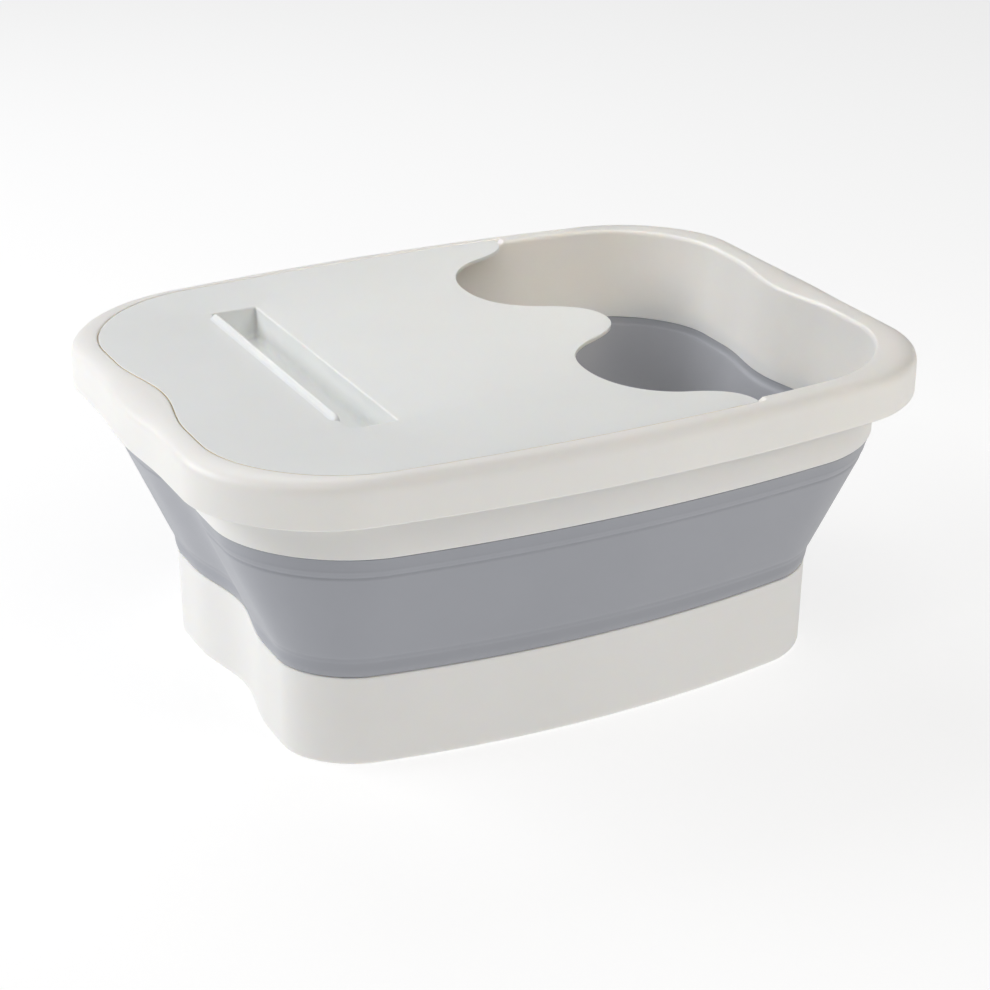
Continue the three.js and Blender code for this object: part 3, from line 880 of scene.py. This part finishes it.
def rounded_box(x0, x1, y0, y1, radius):
    """A plan rectangle with rounded corners, anticlockwise."""
    x0, x1, y0, y1 = x0 + radius, x1 - radius, y0 + radius, y1 - radius
    points = []
    for quarter, (x, y) in enumerate(((x1, y1), (x0, y1), (x0, y0), (x1, y0))):
        angles = [(quarter + i / 8) * math.pi / 2 for i in range(9)]
        points += arc(x, y, radius, angles)
    return np.array(points)


def rib_outline():
    """The rib under the lid, which keeps it from sliding in the rim's mouth."""
    outer = [p for p in ring(at(inset(WALL_TOP, 1), 0))[:, :2] if p[0] < RIB_END_X]
    inner = [p for p in ring(at(inset(WALL_TOP, 1 + RIB_THICK), 0))[:, :2] if p[0] < RIB_END_X]
    return np.array(outer + inner[::-1])


# ----------------------------------------------------------------------------------------------------------
# The rollers and their cradles
# ----------------------------------------------------------------------------------------------------------
def roller_skin(side, number, material):
    """A massage roller: three broad ribs with two rows of low nubs round each."""
    node = f"massage_roller_{side}_{number}"
    low, high = box_mm(node)
    x, z = (low[0] + high[0]) / 2, (low[2] + high[2]) / 2
    radius = (high[2] - low[2]) / 2
    valley, crest = radius - RIB_HEIGHT, radius - NUB_HEIGHT
    length = high[1] - low[1]
    pitch = length / ROLLER_RIBS
    angles = 2 * math.pi * np.arange(ROLLER_SIDES) / ROLLER_SIDES
    turns = angles / (2 * math.pi)

    def circle(radii, y):
        places = (x + radii * np.sin(angles), np.full(ROLLER_SIDES, y), z + radii * np.cos(angles))
        return np.column_stack(places)

    def end_face(y, inwards):
        """The rings of an end, from its edge to the bore, with a shallow recess round the pin."""
        recess = ((valley - 0.3, 0), (valley - 1.5, 0), (valley - 2.2, 0.8), (ROLLER_BORE + 1.6, 0.8))
        return [circle(r, y + inwards * depth) for r, depth in (*recess, (ROLLER_BORE, 0))]

    rings = []
    for s in np.linspace(0, length, 97):
        middle = min((math.floor(s / pitch) + 0.5) * pitch, length - pitch / 2)
        rise = np.clip((RIB_HALF_WIDTH + RIB_FLANK / 2 - abs(s - middle)) / RIB_FLANK, 0, 1)
        rise = rise * rise * (3 - 2 * rise)
        bumps = np.zeros(ROLLER_SIDES)
        for row, shift in ((-NUB_ROW, 0), (NUB_ROW, 0.5)):
            phase = (turns * NUBS_AROUND + shift) % 1 - 0.5
            reach = np.hypot(phase * 2 * math.pi * crest / NUBS_AROUND, s - middle - row)
            bumps = np.maximum(bumps, np.sqrt(np.clip(1 - (reach / NUB_RADIUS) ** 2, 0, 1)))
        rings.append(circle(valley + (crest - valley) * rise + NUB_HEIGHT * bumps, low[1] + s))
    rings += end_face(high[1], -1)
    rings += reversed(end_face(low[1], 1))
    verts, faces = skin(rings, True)
    body = f"roller_{side}_{number}"
    shown(f"roller_skin_{side}_{number}", verts, faces, body, material, [node])


def axle_pin(side, number, material):
    """A steel pin with a head at its outer end. It is turned about Z and laid along Y."""
    node = f"roller_axle_{side}_{number}"
    low, high = box_mm(node)
    x, z = (low[0] + high[0]) / 2, (low[2] + high[2]) / 2
    length = high[1] - low[1]
    neck = length - PIN_HEAD_THICK
    profile = [
        (0, 0),
        (PIN_RADIUS, 0),
        (PIN_RADIUS, neck),
        (PIN_HEAD_RADIUS, neck),
        (PIN_HEAD_RADIUS, length),
        (0, length),
    ]
    verts, faces = turned(softened(profile, SMALL_EDGE), 40)
    outwards = 1 if low[1] + high[1] > 0 else -1
    points = np.column_stack([verts[:, 0] * outwards, verts[:, 2] * outwards, verts[:, 1]])
    points += np.array([x, low[1] if outwards > 0 else high[1], z])
    flipped = [tuple(reversed(f)) for f in faces]
    shown(f"axle_{side}_{number}", points, flipped, "base", material, [node])


def prism(plan, y0, y1):
    """A plan in X and Z, given anticlockwise as seen from -Y, swept along Y."""
    n = len(plan)
    verts = [(x, y0, z) for x, z in plan] + [(x, y1, z) for x, z in plan]
    faces = [tuple(range(n)), tuple(reversed(range(n, 2 * n)))]
    faces += [(i, n + i, n + (i + 1) % n, (i + 1) % n) for i in range(n)]
    return np.array(verts, float), faces


def cheek_plan(foot, web, axle_z, rollers):
    """A cheek seen from the side: a low web with a round lug at each axle."""
    plan = [(-CHEEK_HALF_LENGTH, foot), (CHEEK_HALF_LENGTH, foot), (CHEEK_HALF_LENGTH, web)]
    for x in reversed(rollers):
        plan.append((x + LUG_FOOT, web))
        plan += arc(x, axle_z, LUG_RADIUS, np.linspace(0, math.pi, 17))
        plan.append((x - LUG_FOOT, web))
    plan.append((-CHEEK_HALF_LENGTH, web))
    return plan


def cradle_plate(low, high, y, top):
    """The cradle's floor plate, with round corners in plan."""
    half_x, half_y = (high[0] - low[0]) / 2, (high[1] - low[1]) / 2
    plan = rounded_box(-half_x, half_x, -half_y, half_y, CRADLE_CORNER)
    n = len(plan)
    verts = np.vstack([lifted(plan, low[2]), lifted(plan, top)])
    verts[:, 1] += y
    faces = [tuple(reversed(range(n))), tuple(range(n, 2 * n))]
    faces += [(i, (i + 1) % n, n + (i + 1) % n, n + i) for i in range(n)]
    return verts, faces


def finish_edges(piece):
    """A small bevel on every sharp edge, and shading that keeps the flats flat."""
    bevel = piece.modifiers.new("edges", "BEVEL")
    bevel.width = CRADLE_BEVEL * MM
    bevel.segments = 2
    bevel.limit_method = "ANGLE"
    bevel.angle_limit = math.radians(35)
    bevel.use_clamp_overlap = True
    apply_modifiers(piece)
    piece.data.shade_smooth()
    shading = piece.modifiers.new("shading", "WEIGHTED_NORMAL")
    shading.keep_sharp = False
    apply_modifiers(piece)


def cradle_body(side, material):
    """A cradle: a plate on four studs, two cheeks with a lug at each axle, and two end bars."""
    node = f"roller_cradle_{side}"
    low, high = box_mm(node)
    y = (low[1] + high[1]) / 2
    plate_top = low[2] + CRADLE_FLOOR
    foot = plate_top - SINK
    web = low[2] + CHEEK_HEIGHT
    axle_z = high[2] - LUG_RADIUS
    inner, outer = CHEEK_Y
    rollers = [(i - (ROLLER_COUNT - 1) / 2) * ROLLER_PITCH for i in range(ROLLER_COUNT)]
    verts, faces = cradle_plate(low, high, y, plate_top)
    piece = shown(f"cradle_{side}", verts, faces, None, material, [node], smooth=False)

    cheek = cheek_plan(foot, web, axle_z, rollers)
    added = [helper(*prism(cheek, y + start, y + end)) for start, end in ((inner, outer), (-outer, -inner))]
    for x in (-BAR_X, BAR_X):
        x0, x1 = x - BAR_HALF_THICK, x + BAR_HALF_THICK
        bar = [(x0, foot), (x1, foot), (x1, web + SINK), (x0, web + SINK)]
        added.append(helper(*prism(bar, y - BAR_HALF_LENGTH, y + BAR_HALF_LENGTH)))
    combine(piece, added, "UNION")

    holes = []
    around = np.linspace(0, 2 * math.pi, 24, endpoint=False)
    for x in rollers:
        holes.append(helper(*prism(arc(x, axle_z, ROLLER_BORE, around), y - outer - 1, y + outer + 1)))
    profile = [(0, 0), (STUD_HOLE_RADIUS, 0), (STUD_HOLE_RADIUS, plate_top + 1), (0, plate_top + 1)]
    for stud_x, stud_y in STUD_PLACES:
        verts, faces = turned(profile, 24)
        holes.append(helper(verts + np.array([stud_x, y + stud_y, 0]), faces))
    combine(piece, holes, "DIFFERENCE")
    finish_edges(piece)
    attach(piece, "base")


def cradle_studs(material):
    """The tub's studs that hold the cradles, with rounded tops."""
    root = FLOOR_TOP - FLOOR_ROOT
    profile = softened([(0, root), (STUD_RADIUS, root), (STUD_RADIUS, STUD_TOP), (0, STUD_TOP)], STUD_EDGE)
    stud, stud_faces = turned(profile, 28)
    places = [(x, side * CRADLE_Y + y) for side in (-1, 1) for x, y in STUD_PLACES]
    verts, faces = joined((stud + np.array([x, y, 0]), stud_faces) for x, y in places)
    shown("cradle_studs", verts, faces, "base", material)


# ----------------------------------------------------------------------------------------------------------
# Stage, light and camera
# ----------------------------------------------------------------------------------------------------------
def camera():
    """The camera, on the photograph's bearing and height round the basin, with its small roll."""
    azimuth, elevation, roll = (math.radians(v) for v in CAMERA_ANGLES)
    level = math.cos(elevation)
    back = Vector((math.sin(azimuth) * level, -math.cos(azimuth) * level, math.sin(elevation)))
    right = Vector((math.cos(azimuth), math.sin(azimuth), 0))
    up = back.cross(right)
    across = right * math.cos(roll) + up * math.sin(roll)
    upright = up * math.cos(roll) - right * math.sin(roll)
    data = bpy.data.cameras.new("camera")
    data.sensor_width = 36
    data.lens = CAMERA_LENS
    data.clip_end = 50
    obj = bpy.data.objects.new("camera", data)
    shift_across, shift_up = CAMERA_SHIFT
    matrix = Matrix((across, upright, back)).transposed().to_4x4()
    matrix.translation = (
        Vector(CAMERA_TARGET) + across * shift_across + upright * shift_up + back * CAMERA_DISTANCE
    )
    obj.matrix_world = matrix
    bpy.context.scene.collection.objects.link(obj)
    bpy.context.scene.camera = obj


def softbox(name, target, distance, bearing, height, size, power, color, spread=180):
    """An area light turned to a target.

    Its bearing from +X, its height and its spread are in degrees, its distance and size in metres, and its
    power in watts.
    """
    data = bpy.data.lights.new(name, "AREA")
    data.shape = "RECTANGLE"
    data.size, data.size_y = size
    data.energy = power
    data.color = color
    data.spread = math.radians(spread)
    obj = bpy.data.objects.new(name, data)
    angle, rise = math.radians(bearing), math.radians(height)
    way = Vector((math.cos(angle) * math.cos(rise), math.sin(angle) * math.cos(rise), math.sin(rise)))
    obj.location = Vector(target) + way * distance
    obj.rotation_euler = (-way).to_track_quat("-Z", "Y").to_euler()
    bpy.context.scene.collection.objects.link(obj)


def stage():
    """The floor: pale grey paint that gives off light, so that it shows nearly white."""
    mesh = bpy.data.meshes.new("floor")
    corners = [(x * FLOOR_HALF, y * FLOOR_HALF, 0) for x, y in ((-1, -1), (1, -1), (1, 1), (-1, 1))]
    mesh.from_pydata(corners, [], [(0, 1, 2, 3)])
    floor = bpy.data.objects.new("floor", mesh)
    bpy.context.scene.collection.objects.link(floor)
    paint = bpy.data.materials.new("floor_paint")
    paint.use_nodes = True
    shader = next(n for n in paint.node_tree.nodes if n.type == "BSDF_PRINCIPLED")
    shader.inputs["Base Color"].default_value = (0.3, 0.3, 0.3, 1)
    shader.inputs["Emission Color"].default_value = (1, 1, 1, 1)
    shader.inputs["Emission Strength"].default_value = 0.75
    shader.inputs["Roughness"].default_value = 0.9
    shader.inputs["Specular IOR Level"].default_value = 0.1
    mesh.materials.append(paint)


def room():
    """A dim, even room round the basin, and a plain view transform."""
    world = bpy.data.worlds.new("room")
    world.use_nodes = True
    background = next(n for n in world.node_tree.nodes if n.type == "BACKGROUND")
    background.inputs["Color"].default_value = (0.98, 0.99, 1, 1)
    background.inputs["Strength"].default_value = 0.03
    bpy.context.scene.world = world
    bpy.context.scene.view_settings.view_transform = "Standard"


def lights():
    """Four large soft lights, and two narrow ones for the inside of the mouth."""
    center = (0, 0, 0.1)
    softbox("key", center, 2.2, 150, 31, (1.7, 0.9), 30, (0.975, 0.982, 1))
    softbox("back", center, 2.2, 90, 50, (1.2, 1.2), 11, (0.97, 0.98, 1))
    softbox("front", center, 2.2, 291, 43, (1.2, 1.2), 11.5, (1, 0.97, 0.93))
    softbox("above", center, 2.2, 250, 66, (1.2, 1.2), 9, (1, 0.975, 0.945))
    softbox("mouth_left", (0.18, 0.07, 0.14), 1.3, 208, 42, (0.3, 0.3), 0.055, (1, 0.97, 0.9), 22)
    softbox("mouth_front", (0.08, 0.15, 0.17), 1.3, 292, 28, (0.2, 0.2), 0.045, (1, 0.86, 0.66), 21)


# ----------------------------------------------------------------------------------------------------------
# Assembly
# ----------------------------------------------------------------------------------------------------------
camera()
stage()
room()
lights()
materials = make_materials()
base_shell(materials["shell"])
floor_nubs(materials["shell"])
cradle_studs(materials["shell"])
foot_pads(materials["pad"])
wall_skin(materials["rubber"])
rim_shell(materials["shell"])
lid_panel(materials["lid"], materials["painted_gap_shade"])
slot_lip(materials["lid"])
for side in ("left", "right"):
    cradle_body(side, materials["cradle"])
    for number in range(1, ROLLER_COUNT + 1):
        roller_skin(side, number, materials["roller"])
        axle_pin(side, number, materials["steel"])
